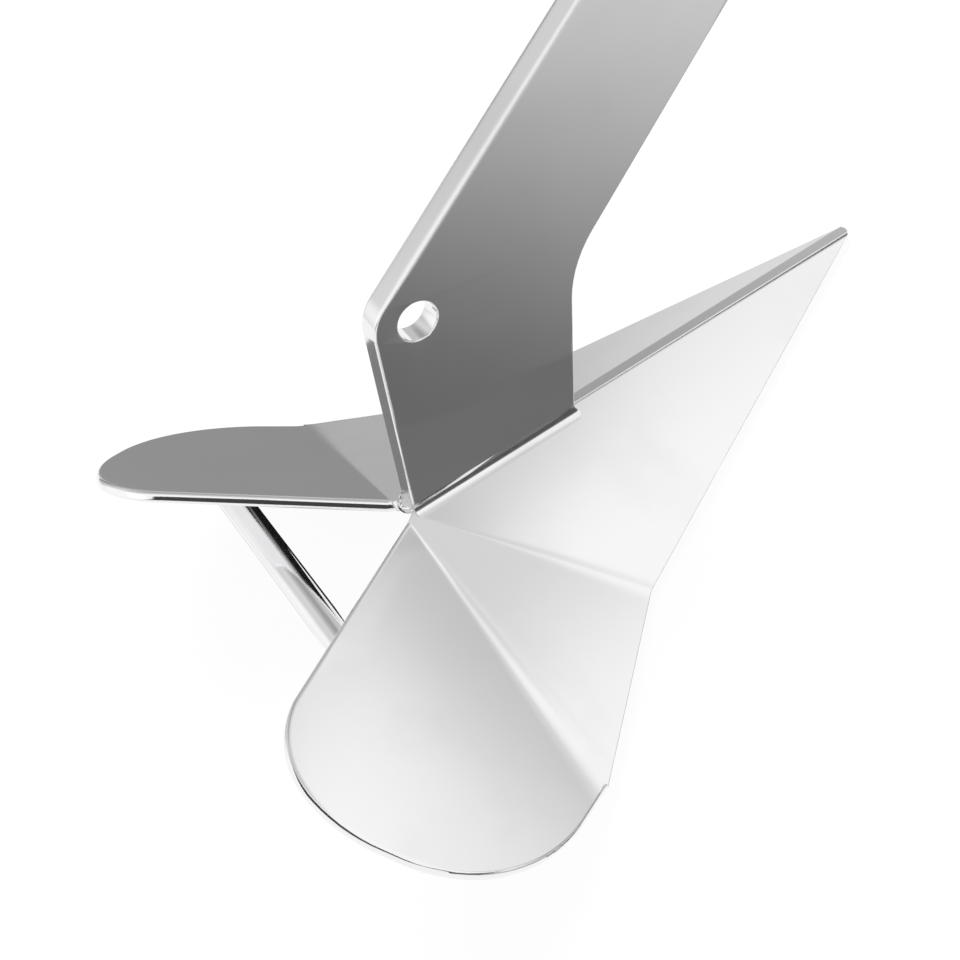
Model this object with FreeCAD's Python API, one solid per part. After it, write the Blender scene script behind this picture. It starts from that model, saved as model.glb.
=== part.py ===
import FreeCAD, Part
import os
from math import asin, atan2, cos, degrees, radians, sin, tan

# A welded, polished steel plough anchor with a fixed shank.
# Everything is first laid out in the fluke's own frame: the origin is the
# heel, where the ridge of the fluke ends under the back of the shank, X runs
# along the ridge to the nose, Y to port and Z away from the ground.
# At the end the whole anchor is pitched nose down onto its two cutting edges.
# Lengths are millimetres and angles are degrees.

# Fluke: two folded plates, mirror images, joined along the ridge
ridge_length = 320.0
plate_thickness = 7.0
root_gap = 0.6
panel_fall = 30.0
nose_radius = 5.8
shoulder_x = 85.3
shoulder_out = 105.0
low_corner_x = -4.0
low_corner_out = 185.0
low_corner_down = 75.5
first_crease_back = 6.0
crease_spread = 5.5
crease_radius = 10.0
crease_widening = 0.23

# Wing behind the second crease, drawn in its own plane: out along the straight
# trailing edge, round the tip and the outer side, and round the low end
# back to the corner of the middle panel
trailing_sweep = 52.4
trailing_rise = 10.0
wing_rear_straight = 140.2
wing_tip_radius = 52.0
wing_tip_turn = 71.2
wing_outer_radius = 90.0
wing_outer_turn = 27.0
wing_side_straight = 12.1
wing_low_straight = 27.1
wing_edge_radius = 2.5

# Ridge weld
ridge_proud = 0.8
ridge_shoulder_radius = 0.7

# Shank: one flat plate on edge
shank_thickness = 15.0
shank_foot_back = -2.1
shank_foot_front = 111.0
crook_back_x = 12.8
crook_back_height = 133.9
crook_back_radius = 26.0
crook_front_x = 132.2
crook_front_height = 98.4
crook_front_radius = 66.0
arm_angle = 35.8
arm_length = 620.0
arm_end_radius = 31.0
shank_edge_radius = 1.2
shackle_hole_diameter = 18.0
trip_hole_diameter = 23.8
trip_hole_x = 37.9
trip_hole_height = 121.2
hole_edge_chamfer = 0.8

# Weld beads
weld_rise = 5.4
weld_spread = 4.9
weld_hollow = 1.15
weld_toe = 0.2
weld_bite = 1.0
heel_bead_radius = 6.5
rod_bead_leg = 3.0

# Brace rod between the wings
rod_diameter = 19.0
rod_back = -77.6
rod_down = 33.6

# Ballast in the nose
cover_thickness = 4.0
cover_lift = 4.0
ballast_back = 110.0
nose_trim = 22.0

# Reach of the shapes that only cut others, far larger than the anchor
FAR = 2000.0
# How far a panel's outline is drawn past a crease before it is split there
CREASE_OVERLAP = 8.0
# The same beside the heel, where the two creases lie close together
ROOT_OVERLAP = 4.0
# How far the bent sheet reaches behind the heel before its outline is cut
SHEET_MARGIN = 3.0
# A point this near to a surface lies on it
ON_SURFACE = 0.01
QUARTER_TURN = 90.0
CUBIC_MM_PER_CUBIC_CM = 1000


def vec(x, y, z):
    return FreeCAD.Vector(x, y, z)


def unit(v):
    return FreeCAD.Vector(v).normalize()


def upward(v):
    return v if v.z > 0 else v * -1


def forward(v):
    return v if v.x > 0 else v * -1


def beyond(point, direction):
    """A solid that fills the space past a plane; direction is the plane's normal."""
    return Part.makeCylinder(FAR, FAR, point, direction)


def polygon(points):
    return Part.makePolygon(points + [points[0]])


def slab(outline, normal, thickness, above=0.0):
    """A plate drawn by its outline on the upper face, reaching down by its thickness."""
    face = Part.Face(outline)
    face.translate(normal * above)
    return face.extrude(normal * -(thickness + above))


def cutter(outline, normal):
    """A panel's outline with room above and below, square to the panel."""
    return slab(outline, normal, 2 * plate_thickness, plate_thickness)


def mirrored(shape):
    return shape.mirror(vec(0, 0, 0), vec(0, 1, 0))


def largest(shape):
    """The biggest solid of a shape, without seams between matching faces."""
    return max(shape.removeSplitter().Solids, key=lambda solid: solid.Volume)


def arc(start, middle, end):
    return Part.Arc(start, middle, end).toShape()


def line(start, end):
    return Part.LineSegment(start, end).toShape()


def rounded_path(corners, radii):
    """Edges along corner points, with each inner corner rounded to its own radius."""
    edges = []
    here = corners[0]
    for before, corner, after, radius in zip(corners, corners[1:], corners[2:], radii):
        back = unit(before - corner)
        ahead = unit(after - corner)
        half_angle = back.getAngle(ahead) / 2
        run = radius / tan(half_angle)
        inward = unit(back + ahead)
        centre = corner + inward * (radius / sin(half_angle))
        start = corner + back * run
        end = corner + ahead * run
        edges.append(line(here, start))
        edges.append(arc(start, centre - inward * radius, end))
        here = end
    edges.append(line(here, corners[-1]))
    return edges


# Fluke layout: the port plate's upper faces, in the fluke's frame
ridge_half_width = root_gap / 2 + plate_thickness * sin(radians(panel_fall))
front_normal = vec(0, sin(radians(panel_fall)), cos(radians(panel_fall)))
heel = vec(0, ridge_half_width, 0)
nose = vec(ridge_length, ridge_half_width, 0)
shoulder_down = (shoulder_out - ridge_half_width) * tan(radians(panel_fall))
shoulder = vec(shoulder_x, shoulder_out, -shoulder_down)
low_corner = vec(low_corner_x, low_corner_out, -low_corner_down)

sweep = radians(trailing_sweep)
rise = radians(trailing_rise)
trailing = vec(-sin(sweep) * cos(rise), cos(sweep) * cos(rise), sin(rise))
# The other two panels' short rear edges have the same heading, each in its own plane
heading = vec(-sin(sweep), cos(sweep), 0)


def rear_edge_in(normal):
    return unit(heading + vec(0, 0, -heading.dot(normal) / normal.z))


front_rear = rear_edge_in(front_normal)
first_root = heel + front_rear * first_crease_back
middle_normal = upward(unit((shoulder - first_root).cross(low_corner - first_root)))
middle_rear = rear_edge_in(middle_normal)
wing_root = first_root + middle_rear * crease_spread
wing_normal = upward(unit(trailing.cross(low_corner - wing_root)))
wing_forward = forward(unit(wing_normal.cross(trailing)))


class Crease:
    """One fold of the plate: a valley between the panel ahead and the panel behind."""

    def __init__(self, start, end, ahead_normal, behind_normal, ahead_side, behind_side):
        self.start = start
        self.along = unit(end - start)
        self.ahead_normal = ahead_normal
        self.turn = ahead_normal.getAngle(behind_normal)
        # Directions in each panel, square to the crease and away from it
        self.ahead = forward(unit(ahead_normal.cross(self.along)))
        self.behind = forward(unit(behind_normal.cross(self.along))) * -1
        # The line down the plate's edge where the sides of the two panels meet
        side_line = ahead_side.cross(ahead_normal).cross(behind_side.cross(behind_normal))
        self.split_normal = forward(unit(self.along.cross(side_line)))
        # The bend is part of a cone whose tip lies on the crease, behind the plate's rear edge
        self.tip = start - self.along * (crease_radius / crease_widening)
        ahead_plane = (self.point(0, self.ahead) - self.tip).cross(ahead_normal)
        behind_plane = (self.point(0, self.behind) - self.tip).cross(behind_normal)
        self.axis = unit(ahead_plane.cross(behind_plane))
        self.roll = degrees(ahead_plane.getAngle(behind_plane))

    def radius(self, run):
        """The bend's radius on the upper face, which grows outward from the rear edge."""
        return crease_radius + crease_widening * run

    def point(self, run, across):
        """Where the flat panel on one side ends and the bend begins."""
        return self.start + self.along * run + across * (self.radius(run) * tan(self.turn / 2))

    def rolled(self, first_run, last_run):
        """The bent strip between the two panels, rolled about the axis of its cone."""
        start = self.point(first_run, self.ahead)
        end = self.point(last_run, self.ahead)
        down = self.ahead_normal * -plate_thickness
        section = Part.Face(polygon([start, end, end + down, start + down]))
        return section.revolve(self.tip, self.axis, self.roll)

    def keep_ahead(self, shape):
        return shape.cut(beyond(self.start, self.split_normal * -1))

    def keep_behind(self, shape):
        return shape.cut(beyond(self.start, self.split_normal))


def in_wing(heading):
    """A direction in the wing's plane, turned forward from the trailing edge by an angle."""
    return trailing * cos(radians(heading)) + wing_forward * sin(radians(heading))


class Bend:
    """A round stretch of the wing's edge that turns forward from its first heading."""

    def __init__(self, start, heading, radius, turn):
        self.start = start
        self.radius = radius
        self.centre = start + in_wing(heading + QUARTER_TURN) * radius
        self.middle = self.rim(heading + turn / 2)
        self.end = self.rim(heading + turn)
        self.heading = heading + turn

    def rim(self, heading):
        """The point of the circle where its edge has a heading."""
        return self.centre - in_wing(heading + QUARTER_TURN) * self.radius

    def ahead(self, run):
        """The point that lies straight on from the bend's end."""
        return self.end + in_wing(self.heading) * run

    def edge(self):
        return arc(self.start, self.middle, self.end)


def bend_towards(start, heading, target, last_run):
    """A bend that ends a straight run short of a target and heads for it."""
    to_target = target - start
    sideways = to_target.dot(in_wing(heading + QUARTER_TURN))
    lead = to_target.dot(in_wing(heading))
    # The tangents at both ends meet at equal distances from the bend's ends
    radius = (to_target.Length ** 2 - last_run ** 2) / (2 * sideways)
    half_turn = atan2(sideways, lead + last_run)
    return Bend(start, heading, radius, 2 * degrees(half_turn))


tip_start = wing_root + trailing * wing_rear_straight
tip_bend = Bend(tip_start, 0, wing_tip_radius, wing_tip_turn)
outer_bend = Bend(tip_bend.end, tip_bend.heading, wing_outer_radius, wing_outer_turn)
low_start = outer_bend.ahead(wing_side_straight)
low_bend = bend_towards(low_start, outer_bend.heading, low_corner, wing_low_straight)
front_side = shoulder - nose
middle_side = low_corner - shoulder
wing_side = low_bend.end - low_corner
first_crease = Crease(first_root, shoulder, front_normal, middle_normal, front_side, middle_side)
second_crease = Crease(wing_root, low_corner, middle_normal, wing_normal, middle_side, wing_side)


def folded_sheet():
    """The bent plate before its outline is cut: three flat panels and two rolled bends."""
    first, second = first_crease, second_crease
    reach = ridge_length
    a = first.point(-SHEET_MARGIN, first.ahead)
    b = first.point(reach, first.ahead)
    front = [a, b, b + first.ahead * reach, a + first.ahead * reach]
    middle = [
        first.point(-SHEET_MARGIN, first.behind),
        first.point(reach, first.behind),
        second.point(reach, second.ahead),
        second.point(-SHEET_MARGIN, second.ahead),
    ]
    c = second.point(-SHEET_MARGIN, second.behind)
    d = second.point(reach, second.behind)
    wing = [c, d, d + second.behind * reach, c + second.behind * reach]
    sheet = slab(polygon(front), front_normal, plate_thickness)
    return sheet.fuse([
        first.rolled(-SHEET_MARGIN, reach),
        slab(polygon(middle), middle_normal, plate_thickness),
        second.rolled(-SHEET_MARGIN, reach),
        slab(polygon(wing), wing_normal, plate_thickness),
    ])


def front_outline():
    """The space inside the front panel's edges: ridge, cutting edge and short rear edge."""
    past_shoulder = shoulder + unit(front_side) * CREASE_OVERLAP
    past_root = first_root + front_rear * CREASE_OVERLAP
    return cutter(polygon([nose, past_shoulder, past_root, heel]), front_normal)


def middle_outline():
    """The space inside the edges of the panel between the two creases."""
    side = unit(middle_side) * CREASE_OVERLAP
    rear = middle_rear * CREASE_OVERLAP
    corners = [first_root - rear, shoulder - side, low_corner + side, wing_root + rear]
    return cutter(polygon(corners), middle_normal)


def wing_edges():
    """The wing's free edge, drawn from past the root round to past the low corner."""
    past_corner = low_corner - unit(wing_side) * CREASE_OVERLAP
    return [
        line(wing_root - trailing * ROOT_OVERLAP, tip_bend.start),
        tip_bend.edge(),
        outer_bend.edge(),
        line(outer_bend.end, low_bend.start),
        low_bend.edge(),
        line(low_bend.end, past_corner),
    ]


def rounded_wing(sheet):
    """The flared wing cut from the sheet, with the corners of its free edge rounded."""
    edges = wing_edges()
    closing = line(edges[-1].Vertexes[-1].Point, edges[0].Vertexes[0].Point)
    wing = largest(sheet.common(cutter(Part.Wire(edges + [closing]), wing_normal)))
    rim = Part.Wire(edges)
    rim.translate(wing_normal * plate_thickness)
    rim = rim.extrude(wing_normal * (-3 * plate_thickness))
    corners = [e for e in wing.Edges if follows_rim(e, rim)]
    return wing.makeFillet(wing_edge_radius, corners)


def follows_rim(edge, rim):
    """True for an edge that runs along the wing's free edge, not through its thickness."""
    middle = edge.valueAt((edge.FirstParameter + edge.LastParameter) / 2)
    heading = edge.tangentAt(edge.FirstParameter)
    slant = degrees(heading.getAngle(wing_normal))
    on_rim = rim.distToShape(Part.Vertex(middle))[0] < ON_SURFACE
    return on_rim and abs(slant - QUARTER_TURN) < QUARTER_TURN / 2


def fluke_plate():
    """The port fluke plate: a folded sheet cut to its outline, with a rounded nose."""
    sheet = folded_sheet()
    middle = first_crease.keep_behind(second_crease.keep_ahead(middle_outline()))
    panels = sheet.common(first_crease.keep_ahead(front_outline()).fuse(middle))
    plate = panels.fuse(second_crease.keep_behind(rounded_wing(sheet)))
    plate = plate.cut(beyond(vec(0, root_gap / 2, 0), vec(0, -1, 0)))
    return largest(nose_rounding(plate))


def nose_rounding(shape):
    """Round the nose in plan with one radius that is tangent to both cutting edges."""
    taper = atan2(shoulder_out - ridge_half_width, ridge_length - shoulder_x)
    centre_x = ridge_length - nose_radius
    start = vec(centre_x + nose_radius * sin(taper), 0, 0)
    pin = Part.makeCylinder(nose_radius, FAR, vec(centre_x, 0, -FAR / 2))
    return shape.cut(beyond(start, vec(1, 0, 0)).cut(pin))


def ridge_weld():
    """The dressed weld in the outside corner between the plates, slightly proud of them."""
    root = root_gap / 2
    depth = plate_thickness * cos(radians(panel_fall))
    half = ridge_half_width
    section = Part.Face(polygon([
        vec(0, -root, -depth),
        vec(0, -half, 0),
        vec(0, -half, ridge_proud),
        vec(0, half, ridge_proud),
        vec(0, half, 0),
        vec(0, root, -depth),
    ]))
    bead = nose_rounding(section.extrude(vec(ridge_length, 0, 0)))
    long_edges = [e for e in bead.Edges if e.Length > ridge_length / 2]
    shoulders = [e for e in long_edges if e.CenterOfMass.z > ridge_proud / 2]
    return largest(bead.makeFillet(ridge_shoulder_radius, shoulders))


def arm_eye():
    """The centre of the arm's rounded end, where the shackle hole is."""
    angle = radians(arm_angle)
    crook_back = vec(crook_back_x, 0, crook_back_height)
    back_end = crook_back + vec(cos(angle), 0, sin(angle)) * arm_length
    return back_end - vec(-sin(angle), 0, cos(angle)) * arm_end_radius


def trip_hole():
    return vec(trip_hole_x, 0, trip_hole_height)


def cross_pin(centre, diameter):
    """A cylinder right through the shank, for a hole."""
    start = centre - vec(0, shank_thickness, 0)
    return Part.makeCylinder(diameter / 2, 2 * shank_thickness, start, vec(0, 1, 0))


def shank_outline():
    """The shank's side view: foot, crook and a tapering arm with a rounded end."""
    angle = radians(arm_angle)
    eye = arm_eye()
    crook_front = vec(crook_front_x, 0, crook_front_height)
    # The front edge leaves the crook and is tangent to the rounded end
    to_eye = eye - crook_front
    aim = atan2(to_eye.z, to_eye.x) - asin(arm_end_radius / to_eye.Length)
    back_end = eye + vec(-sin(angle), 0, cos(angle)) * arm_end_radius
    front_end = eye + vec(sin(aim), 0, -cos(aim)) * arm_end_radius
    outward = vec(cos(angle), 0, sin(angle)) + vec(cos(aim), 0, sin(aim))
    tip = eye + unit(outward) * arm_end_radius
    foot_back = vec(shank_foot_back, 0, ridge_proud)
    foot_front = vec(shank_foot_front, 0, ridge_proud)
    crook_back = vec(crook_back_x, 0, crook_back_height)
    edges = rounded_path([foot_back, crook_back, back_end], [crook_back_radius])
    edges.append(arc(back_end, tip, front_end))
    edges += rounded_path([front_end, crook_front, foot_front], [crook_front_radius])
    edges.append(line(foot_front, foot_back))
    return Part.Wire(edges)


def shank():
    """The shank, cut from one plate, with rounded edges above the foot and two holes."""
    plate = Part.Face(shank_outline()).extrude(vec(0, shank_thickness, 0))
    plate.translate(vec(0, -shank_thickness / 2, 0))
    side_edges = [e for e in plate.Edges if e.BoundBox.YLength < shank_thickness / 2]
    above_foot = [e for e in side_edges if e.BoundBox.ZMax > ridge_proud + shank_edge_radius]
    plate = plate.makeFillet(shank_edge_radius, above_foot)
    shackle_pin = cross_pin(arm_eye(), shackle_hole_diameter)
    plate = plate.cut([shackle_pin, cross_pin(trip_hole(), trip_hole_diameter)])
    rims = [e for e in plate.Edges if len(e.Vertexes) == 1]
    return largest(plate.makeChamfer(hole_edge_chamfer, rims))


def panel_height(out):
    """Height of the front panel's upper face at a distance from the centre plane."""
    return -(out - ridge_half_width) * tan(radians(panel_fall))


def ball(radius, centre):
    """A sphere with its poles to port and starboard, clear of the anchor's centre plane."""
    return Part.makeSphere(radius, centre, vec(0, 1, 0))


def weld_section():
    """Outline of a hollow fillet weld beside the shank's port face, seen along X."""
    side = shank_thickness / 2
    root = vec(0, side, panel_height(side))
    top = root + vec(0, 0, weld_rise)
    toe = vec(0, side + weld_spread, panel_height(side + weld_spread) + weld_toe)
    middle = (top + toe) * 0.5
    below = vec(0, 0, -weld_bite)
    return Part.Face(Part.Wire([
        arc(top, middle + unit(root - middle) * weld_hollow, toe),
        line(toe, toe + below),
        line(toe + below, root + below),
        line(root + below, top),
    ]))


def shank_weld(neighbours):
    """The port half of the weld round the foot: a fillet beside and before it, and a rear bead."""
    side = shank_thickness / 2
    run = shank_foot_front - shank_foot_back
    bead = weld_section().extrude(vec(run, 0, 0))
    bead.translate(vec(shank_foot_back, 0, 0))
    end = weld_section()
    end.translate(vec(shank_foot_front, 0, 0))
    corner_line = vec(shank_foot_front, side, 0)
    corner = end.revolve(corner_line, vec(0, 0, 1), -QUARTER_TURN)
    end.rotate(corner_line, vec(0, 0, 1), -QUARTER_TURN)
    front = end.extrude(vec(0, -side, 0))
    root = vec(shank_foot_back, 0, panel_height(side))
    under_foot = Part.makeBox(run, side, ridge_proud - root.z, root)
    rear = ball(heel_bead_radius, vec(shank_foot_back, 0, 0))
    bead = bead.fuse([corner, front, under_foot, rear])
    return largest(bead.cut([beyond(vec(0, 0, 0), vec(0, -1, 0))] + neighbours))


def rod_reach():
    """How far out the rod's axis meets the underside of the wing."""
    on_axis = vec(rod_back, 0, -rod_down)
    under = wing_root - wing_normal * plate_thickness
    return (under - on_axis).dot(wing_normal) / wing_normal.y


def above_underside(depth):
    """Everything on the wing's side of a plane that lies a depth below its underside."""
    return beyond(wing_root - wing_normal * (plate_thickness + depth), wing_normal)


def rod_bar(radius):
    """A round bar along the rod's axis, long enough to pass through both wings."""
    reach = rod_reach() + rod_diameter
    start = vec(rod_back, -reach, -rod_down)
    return Part.makeCylinder(radius, 2 * reach, start, vec(0, 1, 0))


def brace_rod():
    """The round rod between the wings, with its ends cut to lie against their undersides."""
    port_end = above_underside(0)
    return largest(rod_bar(rod_diameter / 2).cut([port_end, mirrored(port_end)]))


def rod_weld(rod):
    """The port weld: a low collar round the slanting end of the rod, against the wing."""
    band = above_underside(rod_bead_leg).cut(above_underside(0))
    return largest(rod_bar(rod_diameter / 2 + rod_bead_leg).common(band).cut(rod))


def pitch_angle():
    """How far the ridge dips at rest, with both cutting edges flat on the ground."""
    return degrees(atan2(shoulder_down, ridge_length - shoulder_x))


def below_cover(lift):
    """Everything nearer the ground than a height above the anchor's resting plane."""
    dip = radians(pitch_angle())
    upright = vec(-sin(dip), 0, cos(dip))
    resting = shoulder - front_normal * plate_thickness
    return beyond(resting + upright * lift, upright * -1)


def nose_cavity():
    """The space under the nose, between the panels' undersides and just above the ground."""
    root = root_gap / 2
    top = -plate_thickness * cos(radians(panel_fall))
    wide = shoulder_out
    low = top - (wide - root) * tan(radians(panel_fall))
    corners = [vec(0, root, top), vec(0, wide, low), vec(0, -wide, low), vec(0, -root, top)]
    wedge = Part.Face(polygon(corners)).extrude(vec(ridge_length - nose_trim, 0, 0))
    return wedge.cut([beyond(vec(ballast_back, 0, 0), vec(-1, 0, 0)), below_cover(cover_lift)])


def nose_ballast():
    """The metal cast into the nose, inside the cover's floor and rear wall."""
    behind_wall = beyond(vec(ballast_back + cover_thickness, 0, 0), vec(-1, 0, 0))
    inside = nose_cavity().cut([behind_wall, below_cover(cover_lift + cover_thickness)])
    return largest(inside)


def nose_cover_plate(ballast):
    """The folded plate that closes the ballast in: a floor and an upturned rear wall."""
    return largest(nose_cavity().cut(ballast))


def anchor():
    """Every piece of the anchor by name, in the fluke's frame."""
    port_plate = fluke_plate()
    bead = ridge_weld()
    plate = shank()
    fillet = shank_weld([plate, port_plate, bead])
    rod = brace_rod()
    rod_fillet = rod_weld(rod)
    ballast = nose_ballast()
    return {
        "shank": plate,
        "port_fluke_plate": port_plate,
        "starboard_fluke_plate": mirrored(port_plate),
        "ridge_weld": bead,
        "port_shank_weld": fillet,
        "starboard_shank_weld": mirrored(fillet),
        "brace_rod": rod,
        "port_rod_weld": rod_fillet,
        "starboard_rod_weld": mirrored(rod_fillet),
        "nose_cover_plate": nose_cover_plate(ballast),
        "nose_ballast": ballast,
    }


def set_down(pieces):
    """Pitch the anchor onto its cutting edges, centred over the origin; return the shift."""
    for shape in pieces.values():
        shape.rotate(vec(0, 0, 0), vec(0, 1, 0), pitch_angle())
    boxes = [shape.optimalBoundingBox(False) for shape in pieces.values()]
    centre_x = (min(box.XMin for box in boxes) + max(box.XMax for box in boxes)) / 2
    shift = vec(-centre_x, 0, -min(box.ZMin for box in boxes))
    for shape in pieces.values():
        shape.translate(shift)
    return shift


def at_rest(point, shift):
    """Where a point of the fluke's frame lies in the finished anchor."""
    turn = FreeCAD.Rotation(vec(0, 1, 0), pitch_angle())
    return turn.multVec(point) + shift


os.makedirs("parts", exist_ok=True)
pieces = anchor()
shift = set_down(pieces)
for name, shape in pieces.items():
    shape.exportStep(f"parts/{name}.step")
    print(f"{name}: volume {shape.Volume / CUBIC_MM_PER_CUBIC_CM:.1f} cm3")
for name, point in {"shackle hole": arm_eye(), "trip hole": trip_hole(), "heel": vec(0, 0, 0)}.items():
    place = at_rest(point, shift)
    print(f"{name}: x {place.x:.2f}, y {place.y:.2f}, z {place.z:.2f}")
print(f"pitch at rest {pitch_angle():.3f} degrees")
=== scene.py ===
# %% [markdown]
# # A polished steel plough anchor
# The anchor stands on its two cutting edges, with its nose to the right and the shank
# rising out of the picture. All that shows of it is one kind of metal, ground and
# buffed until it mirrors the room, so most of its look comes from three things: clean
# surface normals, a very low roughness with faint traces of the buffing wheel, and a
# room worth reflecting. The script loads the exact model, sets up camera and room,
# makes the finishes, and then dresses every plate, weld and rod in turn.

from math import cos, radians, sin

import bpy
from mathutils import Euler, Matrix, Vector


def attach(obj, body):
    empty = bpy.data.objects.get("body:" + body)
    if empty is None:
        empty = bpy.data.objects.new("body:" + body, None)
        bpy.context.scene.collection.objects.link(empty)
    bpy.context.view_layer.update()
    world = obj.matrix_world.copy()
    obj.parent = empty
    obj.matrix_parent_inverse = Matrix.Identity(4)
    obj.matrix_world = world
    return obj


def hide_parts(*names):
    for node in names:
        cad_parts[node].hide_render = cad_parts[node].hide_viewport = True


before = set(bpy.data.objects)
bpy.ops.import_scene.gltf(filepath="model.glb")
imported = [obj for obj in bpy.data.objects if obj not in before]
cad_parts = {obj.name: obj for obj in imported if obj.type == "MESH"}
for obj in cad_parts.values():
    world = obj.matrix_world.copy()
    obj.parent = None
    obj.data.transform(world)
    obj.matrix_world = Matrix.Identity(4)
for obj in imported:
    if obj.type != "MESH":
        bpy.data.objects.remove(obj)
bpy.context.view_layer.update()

# %% [markdown]
# ## The camera
# The photograph looks down on the anchor from behind its starboard wing, with the
# camera tipped to the left, so that the shank leaves the picture at the top.
# A camera can be aimed with a constraint, but a tilt to the side is easier to
# give as plain angles. Its place and angles were fitted to the plate corners.

# %% Camera
CAMERA_PLACE = (-0.2546, -0.6675, 0.8041)
CAMERA_ANGLES = (34.539, 25.182, -34.309)
CAMERA_LENS = 63.77
SENSOR_WIDTH = 36.0
NEAREST_SEEN = 0.01

camera_data = bpy.data.cameras.new("camera")
camera_data.lens = CAMERA_LENS
camera_data.sensor_width = SENSOR_WIDTH
camera_data.clip_start = NEAREST_SEEN
camera = bpy.data.objects.new("camera", camera_data)
bpy.context.scene.collection.objects.link(camera)
camera.location = CAMERA_PLACE
camera.rotation_euler = Euler([radians(a) for a in CAMERA_ANGLES])
bpy.context.scene.camera = camera
bpy.context.scene.view_settings.view_transform = "Standard"
print("camera", CAMERA_PLACE)

# %% [markdown]
# ## Small helpers for node trees
# Every material below is a handful of nodes joined by links. A few helpers keep
# that readable: one adds a node and fills its sockets, one joins two, and the
# others stand for the small sums and gradings that come up again and again.

# %% Node helpers
def add_node(tree, kind, inputs=None, **settings):
    node = tree.nodes.new(kind)
    for name, value in settings.items():
        setattr(node, name, value)
    for name, value in (inputs or {}).items():
        node.inputs[name].default_value = value
    return node


def join(tree, output, target):
    tree.links.new(output, target)


def maths(tree, operation, first, second=0.0):
    """A Math node. Each operand is an output to follow or a plain number."""
    node = add_node(tree, "ShaderNodeMath", operation=operation)
    for socket, value in zip(node.inputs, (first, second)):
        if isinstance(value, bpy.types.NodeSocket):
            join(tree, value, socket)
        else:
            socket.default_value = value
    return node.outputs["Value"]


def dot_product(tree, vector, fixed):
    """How far a vector output reaches along a fixed direction."""
    node = add_node(tree, "ShaderNodeVectorMath", operation="DOT_PRODUCT")
    first, second = node.inputs[:2]
    join(tree, vector, first)
    second.default_value = fixed
    return node.outputs["Value"]


def smooth_range(tree, value, start, end, low=0.0, high=1.0):
    """Eases from low to high while the value goes from start to end."""
    node = add_node(tree, "ShaderNodeMapRange", interpolation_type="SMOOTHSTEP")
    join(tree, value, node.inputs["Value"])
    node.inputs["From Min"].default_value = start
    node.inputs["From Max"].default_value = end
    node.inputs["To Min"].default_value = low
    node.inputs["To Max"].default_value = high
    return node.outputs["Result"]


def blend_levels(tree, first, second, share):
    """Goes from the first level to the second as the share goes from 0 to 1."""
    step = maths(tree, "SUBTRACT", second, first)
    return maths(tree, "ADD", first, maths(tree, "MULTIPLY", step, share))


# %% [markdown]
# ## The room
# A mirror has hardly any colour of its own. Here it shows a bright studio: a big
# soft box overhead with slanted edges, pale walls behind the anchor and to
# starboard, and a dark horizon at either side. Real lamps could do this, but
# levels painted on the world by direction give the same slow gradients with no
# noise at all. The ground is painted in the same way, because two panels that
# meet at a fold look at different places in it, so that each gets a clean level
# of its own. To the camera itself the room stays plain white.

# %% Room levels
# A level of 1 renders as white. All angles are in degrees, azimuth from ahead to port
WHITE = 1.0
DARKEST = 0.03
ROOM_LEVEL = 0.59
BOX_LEVEL = 1.03
# The big soft box lies between slanted edges. Each edge is given by its elevation
# straight ahead, its rise per degree to port, how many degrees it fades over, and
# whether the light lies above it (1) or below it (-1)
BOX_EDGES = (
    (17.8, 0.35, 14.1, 1),
    (15.3, 0.8, 7.5, 1),
    (51.4, -0.17, 4.5, -1),
    (28.6, -0.83, 8.8, -1),
    (7.0, 0.0, 8.0, 1),
)
# It ends to starboard, fading out between these two azimuths
BOX_END = (-80, -115)
# Round patches: azimuth, elevation, the two radii between which they fade, and
# how much they add to the level of the room or take from it
PATCHES = {
    "glow_ahead": (6.5, 40.4, 18.6, 22.4, 0.13),
    "glow_to_starboard": (-30.4, 35.8, 15, 26, 0.49),
    "gap_between_glows": (-24, 42.2, 13, 18.2, -0.18),
    "bright_wall_behind": (160, 22, 24, 44, 0.45),
    "light_over_port_side": (96, 50, 6, 26, 0.14),
    "bright_wall_to_starboard": (-125, 38, 30, 58, 0.45),
    "dark_corner": (60, 47, 4, 24, -0.22),
    "dark_horizon_to_port": (86, 2, 7, 18, -0.35),
    "dark_horizon_to_starboard": (-72, -4, 6, 20, -0.42),
}
# The edge of the ceiling, which shades a little of the soft box itself
CEILING_EDGE = (-15.5, 16.1, 1, 12.2, -0.4)
print("room level", ROOM_LEVEL, "soft box level", BOX_LEVEL, "patches", len(PATCHES))

# %% Ground levels
# From this elevation down all is as white as the floor
GROUND_FROM = -3
# But for painted shade on the ground low to port, near the anchor: a round patch, in which
# the ground has its own levels
SHADED_GROUND = (75, -14, 11, 15, 1.0)
# It grows paler further out, between these two elevations
PALER_BETWEEN = (-14.3, -12.7)
GROUND_LEVELS = (0.3, 0.47)
print("ground levels", WHITE, *GROUND_LEVELS)


# %% Shapes painted on the world
def heading(azimuth, elevation):
    """The direction at an azimuth and an elevation."""
    turn = radians(azimuth)
    flat = cos(radians(elevation))
    return Vector((flat * cos(turn), flat * sin(turn), sin(radians(elevation))))


def box_edge(tree, azimuth, elevation, edge):
    """A mask that is 1 on the lit side of a slanted edge."""
    middle, rise, fade, side = edge
    height = maths(tree, "ADD", elevation, maths(tree, "MULTIPLY", azimuth, -rise))
    start = radians(middle - side * fade / 2)
    end = radians(middle + side * fade / 2)
    return smooth_range(tree, height, start, end)


def round_patch(tree, direction, patch):
    """A level that is full around a direction and fades to 0 between two radii."""
    azimuth, elevation, full, outer, amount = patch
    facing = dot_product(tree, direction, heading(azimuth, elevation))
    return smooth_range(tree, facing, cos(radians(outer)), cos(radians(full)), 0.0, amount)


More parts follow.
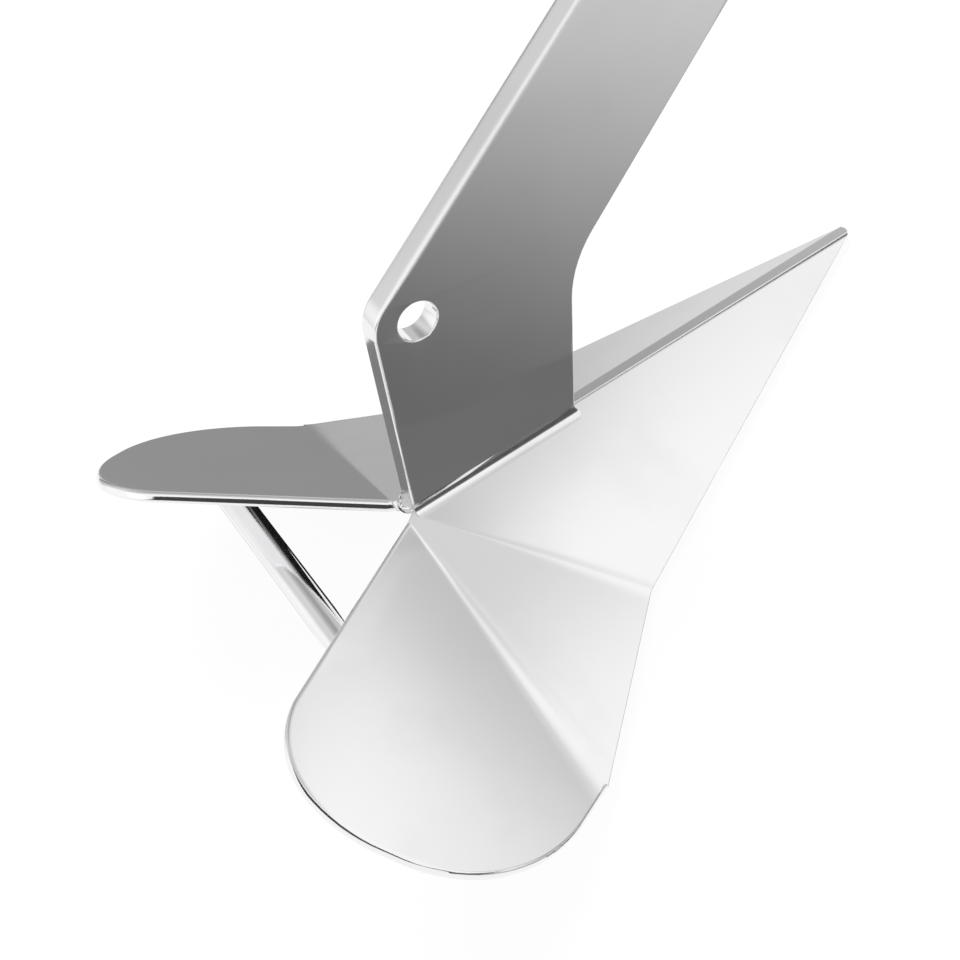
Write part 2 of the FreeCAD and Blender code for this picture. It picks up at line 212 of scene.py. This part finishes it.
# %% World
world = bpy.data.worlds.new("studio")
bpy.context.scene.world = world
world.use_nodes = True
sky = world.node_tree
sky.nodes.clear()
look = add_node(sky, "ShaderNodeTexCoord")
around = look.outputs["Generated"]
parts = add_node(sky, "ShaderNodeSeparateXYZ")
join(sky, around, parts.inputs["Vector"])
turned = maths(sky, "ARCTAN2", parts.outputs["Y"], parts.outputs["X"])
raised = maths(sky, "ARCSINE", parts.outputs["Z"])
room = ROOM_LEVEL
for patch in PATCHES.values():
    room = maths(sky, "ADD", room, round_patch(sky, around, patch))
box = smooth_range(sky, turned, radians(BOX_END[1]), radians(BOX_END[0]))
for edge in BOX_EDGES:
    box = maths(sky, "MULTIPLY", box, box_edge(sky, turned, raised, edge))
level = blend_levels(sky, room, BOX_LEVEL, box)
level = maths(sky, "ADD", level, round_patch(sky, around, CEILING_EDGE))
level = maths(sky, "MAXIMUM", level, DARKEST)
low_down = smooth_range(sky, raised, 0.0, radians(GROUND_FROM))
level = blend_levels(sky, level, WHITE, low_down)
further_out = [radians(elevation) for elevation in PALER_BETWEEN]
ground = smooth_range(sky, raised, *further_out, *GROUND_LEVELS)
level = blend_levels(sky, level, ground, round_patch(sky, around, SHADED_GROUND))
rays = add_node(sky, "ShaderNodeLightPath")
level = blend_levels(sky, level, WHITE, rays.outputs["Is Camera Ray"])
background = add_node(sky, "ShaderNodeBackground", {"Color": (1, 1, 1, 1)})
join(sky, level, background.inputs["Strength"])
sky_out = add_node(sky, "ShaderNodeOutputWorld")
join(sky, background.outputs["Background"], sky_out.inputs["Surface"])
print("world", world.name, "with", len(sky.nodes), "nodes")

# %% [markdown]
# ## The floor
# The floor is a plain white sheet. Most of what the camera gets from it is an
# even white, mixed with a little lit surface so that the anchor's shadow stays.
# Reflections look past it to the ground painted on the world, which is as white
# nearly everywhere.

# %% Floor
FLOOR_SIZE = 12.0
FLOOR_COLOUR = (0.86, 0.86, 0.86, 1)
LIT_SHARE = 0.06


def stage_plane(name, size):
    bpy.ops.object.select_all(action="DESELECT")
    bpy.ops.mesh.primitive_plane_add(size=size, location=(0, 0, 0))
    plane = bpy.context.object
    plane.name = name
    return plane


def new_material(name):
    material = bpy.data.materials.new(name)
    material.use_nodes = True
    material.node_tree.nodes.clear()
    return material, material.node_tree


floor = stage_plane("floor", FLOOR_SIZE)
floor.visible_glossy = False
floor_material, sheet = new_material("white_sheet")
floor.data.materials.append(floor_material)
ray = add_node(sheet, "ShaderNodeLightPath")
white = add_node(sheet, "ShaderNodeEmission", {"Color": (1, 1, 1, 1), "Strength": WHITE})
lit = add_node(sheet, "ShaderNodeBsdfDiffuse", {"Color": FLOOR_COLOUR})
shown = maths(sheet, "ADD", ray.outputs["Is Camera Ray"], ray.outputs["Is Transmission Ray"])
shown = maths(sheet, "MULTIPLY", shown, 1 - LIT_SHARE)
blend = add_node(sheet, "ShaderNodeMixShader")
white_share, lit_shader, white_shader = blend.inputs
join(sheet, shown, white_share)
join(sheet, lit.outputs["BSDF"], lit_shader)
join(sheet, white.outputs["Emission"], white_shader)
sheet_out = add_node(sheet, "ShaderNodeOutputMaterial")
join(sheet, blend.outputs["Shader"], sheet_out.inputs["Surface"])
print("floor", FLOOR_SIZE, "m wide, lit share", LIT_SHARE)

# %% [markdown]
# ## Grey cards
# Cards darken parts of the mirror. A graded card lies on the floor at either side
# and carries a painted shadow of the anchor: dark beside the heel and light in front
# of the nose. Two black cards, below the far wing and below the arm, are painted shade
# of the floor there. With two dark boards held in the air, behind the anchor and to
# starboard of it, they draw the dark lines in the rod and the rims. They could be
# painted on the world too, but what is near slides across a mirror from one end of a
# panel to the other, and the panels show that slide. Only reflections see them.

# %% Card levels
CARD_LIFT = 0.0005
# Each card lies between two corners at one height. Its grading follows a slanted
# direction: given are the direction, the two values along it between which the
# grading runs, and the level at either. A plain card has one level at both
CARDS = {
    # Both graded cards carry a painted shadow of the anchor on the floor: darkest beside the
    # heel, lighter further out
    "starboard_shadow_card": (
        (-0.255, -1.6), (1.6, -0.08), CARD_LIFT,
        (1.4, -0.5), (-0.25, 0.45), (0.15, 0.68),
    ),
    "port_shadow_card": (
        (-0.17, -0.01), (1.6, 0.19), CARD_LIFT,
        (1, 0), (-0.35, 0.04), (0.3, 0.76),
    ),
    # The two black cards are painted shade: the floor in the anchor's shadow below the far
    # wing and below the arm
    "painted_shade_under_wing": (
        (-0.42, 0.05), (-0.252, 0.215), CARD_LIFT,
        (1, 0), (-0.42, -0.34), (1, 0.01),
    ),
    "painted_shade_under_arm": (
        (-0.1, -0.08), (0.6, -0.01), CARD_LIFT,
        (0, 0), (0, 1), (0.08, 0.08),
    ),
    "dark_board_behind": (
        (-1.0, -1.3), (-0.45, -0.08), 0.3,
        (0, 0), (0, 1), (0.05, 0.05),
    ),
    "dark_board_to_starboard": (
        (-0.5, -1.3), (0.1, -0.5), 0.2,
        (0, 0), (0, 1), (0.05, 0.05),
    ),
}
print("cards", list(CARDS))


# %% Lay the cards
def lay_card(name, low_corner, high_corner, height):
    """A level sheet between two corners that only reflections see."""
    card = stage_plane(name, 1)
    for point in card.data.vertices:
        x = (high_corner if point.co.x > 0 else low_corner)[0]
        y = (high_corner if point.co.y > 0 else low_corner)[1]
        point.co = (x, y, height)
    card.visible_camera = False
    card.visible_diffuse = False
    card.visible_transmission = False
    card.visible_shadow = False
    return card


card_trees = {}
for name, (low_corner, high_corner, height, slant, run, levels) in CARDS.items():
    card = lay_card(name, low_corner, high_corner, height)
    card_material, tone = new_material(name)
    card.data.materials.append(card_material)
    place = add_node(tone, "ShaderNodeTexCoord")
    along = dot_product(tone, place.outputs["Object"], (*slant, 0))
    level = smooth_range(tone, along, *run, *levels)
    glow = add_node(tone, "ShaderNodeEmission", {"Color": (1, 1, 1, 1)}, name="glow")
    join(tone, level, glow.inputs["Strength"])
    tone_out = add_node(tone, "ShaderNodeOutputMaterial")
    join(tone, glow.outputs["Emission"], tone_out.inputs["Surface"])
    card_trees[name] = (tone, level)
print("cards laid", len(card_trees))

# %% [markdown]
# ## The card in the second reflection
# The foot of the shank mirrors the plate beside it, and the plate mirrors the
# starboard card. In the photograph that second reflection is darker than the first.
# Another card would darken both, so this one is made darker only for a ray that has
# already left one mirror for another.

# %% Card seen twice
CARD_SEEN_TWICE = 0.175
# The glossy depth is 1 at the first reflection and 2 at the second
PAST_FIRST_REFLECTION = 1.5

tone, level = card_trees["starboard_shadow_card"]
bounces = add_node(tone, "ShaderNodeLightPath")
twice = maths(tone, "GREATER_THAN", bounces.outputs["Glossy Depth"], PAST_FIRST_REFLECTION)
level = blend_levels(tone, level, CARD_SEEN_TWICE, twice)
join(tone, level, tone.nodes["glow"].inputs["Strength"])
print("card level by way of two mirrors", CARD_SEEN_TWICE)

# %% [markdown]
# ## The lamp
# One large, soft lamp high on the port side gives the floor its faint shadow. A
# sun could do it too, but its shadow would have a hard edge. The steel doesn't
# mirror the lamp, because the room already has its lights.

# %% Lamp
LAMP_PLACE = (0.5, 1.2, 2.2)
LAMP_SIZE = 1.6
LAMP_POWER = 60.0

lamp_data = bpy.data.lights.new("overhead_lamp", "AREA")
lamp_data.size = LAMP_SIZE
lamp_data.energy = LAMP_POWER
lamp = bpy.data.objects.new("overhead_lamp", lamp_data)
bpy.context.scene.collection.objects.link(lamp)
lamp.location = LAMP_PLACE
lamp.rotation_euler = (-Vector(LAMP_PLACE)).to_track_quat("-Z", "Y").to_euler()
lamp.visible_glossy = False
print("lamp power", LAMP_POWER)

# %% [markdown]
# ## Traces of polishing
# Buffed steel is not a perfect mirror. The wheel leaves hair-fine lines that
# follow its stroke, the surface rolls very slightly where the grinder lingered,
# and handling leaves a few duller patches. It also rounds every edge, so that each
# edge draws a thin line of light. All steel finishes share these effects, so they
# are one group that puts out a roughness, a normal and a mask of the duller patches.

# %% Sizes of the traces
HAIR_LINES = {"Scale": 900.0, "Detail": 3.0, "Roughness": 0.6}
DULL_PATCHES = {"Scale": 14.0, "Detail": 4.0, "Roughness": 0.55}
SLOW_ROLLS = {"Scale": 9.0, "Detail": 1.0, "Roughness": 0.4}
# The values of the patches' noise between which the polish grows dull
DULL_BETWEEN = (0.42, 0.7)
ROLL_HEIGHT = 0.0006
HAIR_HEIGHT = 0.00001
# How many rays look for the other face of an edge
EDGE_SAMPLES = 6
# The numbers that each finish gives to the group, with their defaults
GROUP_NUMBERS = {
    "Sheen Level": 0.08,
    "Patch Depth": 0.03,
    "Line Depth": 0.02,
    "Roll Depth": 0.05,
    "Edge Round": 0.001,
}
print("traces", HAIR_LINES, DULL_PATCHES, SLOW_ROLLS)

# %% Polish group
polish = bpy.data.node_groups.new("polish", "ShaderNodeTree")
face = polish.interface
stroke = face.new_socket("Stroke", in_out="INPUT", socket_type="NodeSocketVector")
stroke.default_value = (1, 1, 1)
for name, value in GROUP_NUMBERS.items():
    number = face.new_socket(name, in_out="INPUT", socket_type="NodeSocketFloat")
    number.default_value = value
face.new_socket("Roughness", in_out="OUTPUT", socket_type="NodeSocketFloat")
face.new_socket("Normal", in_out="OUTPUT", socket_type="NodeSocketVector")
face.new_socket("Haze", in_out="OUTPUT", socket_type="NodeSocketFloat")
given = add_node(polish, "NodeGroupInput")
result = add_node(polish, "NodeGroupOutput")
print("polish group takes", [socket.name for socket in given.outputs if socket.name])

# %% [markdown]
# ## Hair lines and duller patches
# Both are noise on the piece's own coordinates, so that they stay with the metal. A
# picture of scratches could do it too, but it would repeat, and noise never does.
# The hair lines are drawn out along the stroke of the wheel.

# %% Roughness
on_piece = add_node(polish, "ShaderNodeTexCoord").outputs["Object"]
drawn_out = add_node(polish, "ShaderNodeVectorMath", operation="MULTIPLY")
for socket, source in zip(drawn_out.inputs, (on_piece, given.outputs["Stroke"])):
    join(polish, source, socket)
lines = add_node(polish, "ShaderNodeTexNoise", HAIR_LINES)
join(polish, drawn_out.outputs["Vector"], lines.inputs["Vector"])
patches = add_node(polish, "ShaderNodeTexNoise", DULL_PATCHES)
join(polish, on_piece, patches.inputs["Vector"])
haze = smooth_range(polish, patches.outputs["Fac"], *DULL_BETWEEN)
dull = maths(polish, "MULTIPLY", haze, given.outputs["Patch Depth"])
hair = maths(polish, "MULTIPLY", lines.outputs["Fac"], given.outputs["Line Depth"])
rough = maths(polish, "ADD", given.outputs["Sheen Level"], dull)
rough = maths(polish, "ADD", rough, hair)
join(polish, rough, result.inputs["Roughness"])
join(polish, haze, result.inputs["Haze"])
print("roughness from", len(polish.links), "links")

# %% [markdown]
# ## Rounded edges and slow rolls
# The wheel takes the sharpness off every edge. A real round along all of them would
# need many small faces, while a Bevel node turns only the normals near an edge,
# which is all that a mirror shows. The slow rolls of the surface and the hair lines
# are bumps laid over that.

# %% Normal
edges = add_node(polish, "ShaderNodeBevel", samples=EDGE_SAMPLES)
join(polish, given.outputs["Edge Round"], edges.inputs["Radius"])
rolls = add_node(polish, "ShaderNodeTexNoise", SLOW_ROLLS)
join(polish, on_piece, rolls.inputs["Vector"])
normal = edges.outputs["Normal"]
for pattern, depth, height in (
    (rolls, "Roll Depth", ROLL_HEIGHT),
    (lines, "Line Depth", HAIR_HEIGHT),
):
    bump = add_node(polish, "ShaderNodeBump", {"Distance": height})
    join(polish, given.outputs[depth], bump.inputs["Strength"])
    join(polish, pattern.outputs["Fac"], bump.inputs["Height"])
    join(polish, normal, bump.inputs["Normal"])
    normal = bump.outputs["Normal"]
join(polish, normal, result.inputs["Normal"])
print("polish group with", len(polish.nodes), "nodes")

# %% [markdown]
# ## Finishes
# Each finish is a Principled shader with full metal, fed by the polish group. It
# gives back about nine tenths of the light with barely any tint, and a trace less
# where the polish is hazy. All pieces could share one finish, but the wheel ran
# along the shank and across the plates, the rod is the smoothest, and welds stay
# duller than plate.

# %% Steel finishes
STEEL = (0.9, 0.9, 0.905, 1)
HAZY_STEEL = (0.87, 0.87, 0.88, 1)
WELD_STEEL = (0.88, 0.88, 0.88, 1)
HAZY_WELD = (0.82, 0.82, 0.83, 1)
# The marks of each finish: the stroke in x, y and z, where a small number draws the
# hair lines out that way, and the group's numbers, from the sheen to the edges' round
PLATE_MARKS = ((1, 0.04, 1), 0.07, 0.03, 0.03, 0.04, 0.0008)
SHANK_MARKS = ((0.05, 1, 0.05), 0.06, 0.02, 0.03, 0.03, 0.001)
ROD_MARKS = ((1, 0.05, 1), 0.05, 0.03, 0.03, 0.03, 0.0004)
FILLET_MARKS = ((1, 1, 1), 0.12, 0.06, 0.05, 0.2, 0.0006)
RIDGE_MARKS = ((1, 1, 1), 0.12, 0.06, 0.05, 0.1, 0.0006)


def steel(name, colour, hazy_colour, marks):
    material, tree = new_material(name)
    polished = add_node(tree, "ShaderNodeGroup", node_tree=polish, name="polish")
    for mark, value in zip(("Stroke", *GROUP_NUMBERS), marks):
        polished.inputs[mark].default_value = value
    tint = add_node(tree, "ShaderNodeMix", data_type="RGBA")
    join(tree, polished.outputs["Haze"], tint.inputs["Factor"])
    tint.inputs["A"].default_value = colour
    tint.inputs["B"].default_value = hazy_colour
    metal = add_node(tree, "ShaderNodeBsdfPrincipled", {"Metallic": 1.0})
    join(tree, tint.outputs["Result"], metal.inputs["Base Color"])
    join(tree, polished.outputs["Roughness"], metal.inputs["Roughness"])
    join(tree, polished.outputs["Normal"], metal.inputs["Normal"])
    out = add_node(tree, "ShaderNodeOutputMaterial")
    join(tree, metal.outputs["BSDF"], out.inputs["Surface"])
    print("finish", name)
    return material


plate_finish = steel("polished_plate", STEEL, HAZY_STEEL, PLATE_MARKS)
shank_finish = steel("polished_shank", STEEL, HAZY_STEEL, SHANK_MARKS)
rod_finish = steel("polished_rod", STEEL, HAZY_STEEL, ROD_MARKS)
weld_finish = steel("dressed_weld", WELD_STEEL, HAZY_WELD, FILLET_MARKS)
ridge_finish = steel("dressed_ridge", WELD_STEEL, HAZY_WELD, RIDGE_MARKS)

# %% [markdown]
# ## The rounder edge of the arm
# The arm of the shank, above its crook, has been buffed rounder than the foot, so
# the light along its edge is broader there. A second finish on part of the faces
# could show that, but it would change at a hard line. A mask by height, which
# feeds the radius of the group's edges, changes it over a short stretch instead.

# %% Arm edge
# The two heights between which the edges grow rounder, and their radius at either
ROUNDER_ABOVE = (0.205, 0.225)
ARM_EDGE = (0.001, 0.0045)

shank_tree = shank_finish.node_tree
shank_place = add_node(shank_tree, "ShaderNodeTexCoord")
shank_parts = add_node(shank_tree, "ShaderNodeSeparateXYZ")
join(shank_tree, shank_place.outputs["Object"], shank_parts.inputs["Vector"])
edge_radius = smooth_range(shank_tree, shank_parts.outputs["Z"], *ROUNDER_ABOVE, *ARM_EDGE)
join(shank_tree, edge_radius, shank_tree.nodes["polish"].inputs["Edge Round"])
print("edge radius of foot and arm", ARM_EDGE)

# %% [markdown]
# ## Lead
# The ballast is poured lead, dull and a little uneven. One flat grey could stand
# for it, but a grain that moves the colour and the surface together reads as the
# skin of a casting.

# %% Cast lead
DARK_LEAD = (0.11, 0.115, 0.125, 1)
PALE_LEAD = (0.22, 0.225, 0.24, 1)
LEAD_GRAIN = {"Scale": 60.0, "Detail": 6.0}
LEAD_BUMP = {"Strength": 0.5, "Distance": 0.0005}
LEAD_SHINE = {"Metallic": 0.8, "Roughness": 0.62}

lead_finish, lead_tree = new_material("cast_lead")
lead_place = add_node(lead_tree, "ShaderNodeTexCoord")
grain = add_node(lead_tree, "ShaderNodeTexNoise", LEAD_GRAIN)
join(lead_tree, lead_place.outputs["Object"], grain.inputs["Vector"])
lead_colour = add_node(lead_tree, "ShaderNodeMix", data_type="RGBA")
join(lead_tree, grain.outputs["Fac"], lead_colour.inputs["Factor"])
lead_colour.inputs["A"].default_value = DARK_LEAD
lead_colour.inputs["B"].default_value = PALE_LEAD
lead_bump = add_node(lead_tree, "ShaderNodeBump", LEAD_BUMP)
join(lead_tree, grain.outputs["Fac"], lead_bump.inputs["Height"])
lead_metal = add_node(lead_tree, "ShaderNodeBsdfPrincipled", LEAD_SHINE)
join(lead_tree, lead_colour.outputs["Result"], lead_metal.inputs["Base Color"])
join(lead_tree, lead_bump.outputs["Normal"], lead_metal.inputs["Normal"])
lead_out = add_node(lead_tree, "ShaderNodeOutputMaterial")
join(lead_tree, lead_metal.outputs["BSDF"], lead_out.inputs["Surface"])
print("finish", lead_finish.name)

# %% [markdown]
# ## Smooth copies of the pieces
# A mirror shows every facet, and the loaded meshes are loose triangles. Each
# piece is therefore copied, its points are merged, and it is shaded smooth up to
# a limit angle, so that rolled bends and rounded edges flow while true corners
# stay crisp. A weighted normal pass then keeps the flat panels truly flat.

# %% Dress a piece
# Points nearer than this are merged, and edges over this many degrees stay crisp
MERGE_DISTANCE = 0.000002
SMOOTH_ANGLE = 32.0
# Over 50, the large faces count for more than the small ones beside them
LARGE_FACES_LEAD = 100


def dressed(name, node, finish, prepare=None):
    """A smooth copy of a node in its place. prepare works on its merged mesh first."""
    piece = bpy.data.objects.new(name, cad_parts[node].data.copy())
    bpy.context.scene.collection.objects.link(piece)
    bpy.ops.object.select_all(action="DESELECT")
    piece.select_set(True)
    bpy.context.view_layer.objects.active = piece
    loose = len(piece.data.vertices)
    bpy.ops.object.mode_set(mode="EDIT")
    bpy.ops.mesh.select_all(action="SELECT")
    bpy.ops.mesh.remove_doubles(threshold=MERGE_DISTANCE)
    bpy.ops.object.mode_set(mode="OBJECT")
    if prepare:
        prepare(piece)
    bpy.ops.object.shade_smooth_by_angle(angle=radians(SMOOTH_ANGLE))
    weighted = piece.modifiers.new("flat_panels", "WEIGHTED_NORMAL")
    weighted.keep_sharp = True
    weighted.weight = LARGE_FACES_LEAD
    bpy.ops.object.modifier_apply(modifier=weighted.name)
    piece.data.materials.clear()
    piece.data.materials.append(finish)
    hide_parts(node)
    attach(piece, "root")
    print(name, "points", loose, "->", len(piece.data.vertices))
    return piece


# %% [markdown]
# ## Folds of the fluke plates
# Each fluke plate is one sheet folded twice: a sloping front panel, a middle
# panel and the flared wing behind. The folds are rolled, not sharp, and the
# buffing has spread them further still, so that the reflection swings slowly from
# one panel to the next. A wider bend in the mesh would move its surface, so the
# mesh is only cut into strips along each fold, and the normals of the strips turn
# step by step. All folds meet in one point at the heel, and so do the cuts.

# %% Panels and folds
# The band over which each fold turns, front fold first: where it starts on the panel
# ahead and ends on the panel behind, as a share of the distance from the heel
FOLD_BANDS = ((-0.075, 0.055), (-0.115, 0.075))
# Faces whose normals agree to this many decimals lie in one panel
SAME_PANEL = 2
PANEL_COUNT = 3


def upper_panels(piece):
    """The largest upper faces of a folded plate, nose first: normal and centre."""
    panels = {}
    for face in piece.data.polygons:
        if face.normal.z > 0:
            key = tuple(round(v, SAME_PANEL) for v in face.normal)
            area, middle, normal = panels.get(key, (0, Vector(), Vector()))
            middle = middle + face.center * face.area
            normal = normal + face.normal * face.area
            panels[key] = (area + face.area, middle, normal)
    largest = sorted(panels.values(), key=lambda panel: -panel[0])[:PANEL_COUNT]
    found = [(normal.normalized(), middle / area) for area, middle, normal in largest]
    return sorted(found, key=lambda panel: -panel[1].x)


def plate_folds(piece):
    """The point where the folds meet, and for each fold its line, what lies across it,
    the band over which it turns and the normals of its two panels."""
    panels = upper_panels(piece)
    planes = Matrix([normal for normal, middle in panels])
    meeting = planes.inverted() @ Vector([normal.dot(middle) for normal, middle in panels])
    folds = []
    for ahead, behind, band in zip(panels, panels[1:], FOLD_BANDS):
        along = ahead[0].cross(behind[0]).normalized()
        along *= 1 if along.dot(behind[1] - meeting) > 0 else -1
        across = along.cross(ahead[0] + behind[0]).normalized()
        across *= 1 if across.dot(behind[1] - ahead[1]) > 0 else -1
        folds.append((along, across, band, ahead[0], behind[0]))
    return meeting, folds


# %% Cut the strips
# Where the strips of a fold are cut, as shares of its band
STRIP_STEPS = (0, 0.15, 0.3, 0.44, 0.56, 0.7, 0.85, 1)


def cut_strips(piece):
    meeting, folds = plate_folds(piece)
    bpy.ops.object.mode_set(mode="EDIT")
    for along, across, (start, end), ahead, behind in folds:
        for step in STRIP_STEPS:
            bpy.ops.mesh.select_all(action="SELECT")
            cut = across - along * (start + (end - start) * step)
            bpy.ops.mesh.bisect(plane_co=meeting, plane_no=cut)
    bpy.ops.object.mode_set(mode="OBJECT")
    print(piece.name, "cut into", len(piece.data.polygons), "faces")


# %% Turn the normals
# Only faces that already face nearly as the fold does there are turned, not the rims
NEAR_FOLD = cos(radians(11))
# Points nearer to the heel than this count as this far from it
NEAREST_TO_HEEL = 0.001


def fold_normal(point, meeting, fold):
    """The normal that a fold gives a point, and how far the fold has turned there."""
    along, across, (start, end), ahead, behind = fold
    distance = max((point - meeting).dot(along), NEAREST_TO_HEEL)
    offset = (point - meeting).dot(across) / distance
    share = min(max((offset - start) / (end - start), 0), 1)
    # The turn starts and ends gently
    share = share * share * (3 - 2 * share)
    return (ahead * (1 - share) + behind * share).normalized(), share


def turn_folds(piece):
    meeting, folds = plate_folds(piece)
    mesh = piece.data
    normals = [corner.vector.copy() for corner in mesh.corner_normals]
    turned_corners = 0
    for fold in folds:
        for face in mesh.polygons:
            wanted, share = fold_normal(face.center, meeting, fold)
            if face.normal.dot(wanted) > NEAR_FOLD and 0 < share < 1:
                for corner in face.loop_indices:
                    point = mesh.vertices[mesh.loops[corner].vertex_index].co
                    normals[corner] = fold_normal(point, meeting, fold)[0]
                    turned_corners += 1
    mesh.normals_split_custom_set(normals)
    print(piece.name, "corners turned along the folds", turned_corners)


# %% [markdown]
# ## Fluke plates
# The two plates are mirror images of each other. One copy could be mirrored from the
# other, but each plate has its own exact node, so a loop dresses both. The strips are
# cut before a plate is smoothed and its normals are turned after that, because
# smoothing writes normals of its own.

# %% Plates
SIDES = ("port", "starboard")

plates = {}
for side in SIDES:
    plates[side] = dressed(side + "_plate", side + "_fluke_plate", plate_finish, cut_strips)
    turn_folds(plates[side])

# %% [markdown]
# ## Shank
# The shank is one thick plate on edge, polished along its length. Its outline, its
# holes and the rounds along its edges are already in the exact model, so a smooth
# copy is enough, and nothing has to be modelled anew.

# %% Shank
shank = dressed("shank_plate", "shank", shank_finish)

# %% [markdown]
# ## Brace rod
# The round rod ties the wings together behind the heel. A fresh cylinder would be
# rounder still, but its ends would not follow the underside of the wings, so the
# rod is a smooth copy too.

# %% Rod
rod = dressed("wing_brace", "brace_rod", rod_finish)

# %% [markdown]
# ## Welds
# The ridge weld is ground nearly flush. The fillets are hollow, and a file has run
# over both their borders until the metal flows from the plate into the shank or
# the rod. A finer mesh could show that, but turning the normals is enough for a
# mirror: every point leans to the face it is nearer to.

# %% Welds
def flow_into(bead, first, second):
    """Turns a bead's normals so that it flows from one piece into another."""
    normals = []
    for point in bead.data.vertices:
        _, first_spot, first_normal, _ = first.closest_point_on_mesh(point.co)
        _, second_spot, second_normal, _ = second.closest_point_on_mesh(point.co)
        to_first = (point.co - first_spot).length
        to_second = (point.co - second_spot).length
        normals.append((first_normal * to_second + second_normal * to_first).normalized())
    bead.data.normals_split_custom_set_from_vertices(normals)
    print(bead.name, "turned normals", len(normals))


dressed("ridge_bead", "ridge_weld", ridge_finish)
for side in SIDES:
    foot_bead = dressed(side + "_foot_bead", side + "_shank_weld", weld_finish)
    flow_into(foot_bead, plates[side], shank)
    brace_bead = dressed(side + "_brace_bead", side + "_rod_weld", weld_finish)
    flow_into(brace_bead, plates[side], rod)

# %% [markdown]
# ## Ballast
# A cast block in the nose is closed in by a folded cover under the fluke. Neither
# is seen from above. They could be left as they come, but the anchor may be turned
# over, so the cover gets the polish of the plates and the block its cast skin.

# %% Ballast
dressed("ballast_cover", "nose_cover_plate", plate_finish)
dressed("ballast_block", "nose_ballast", lead_finish)
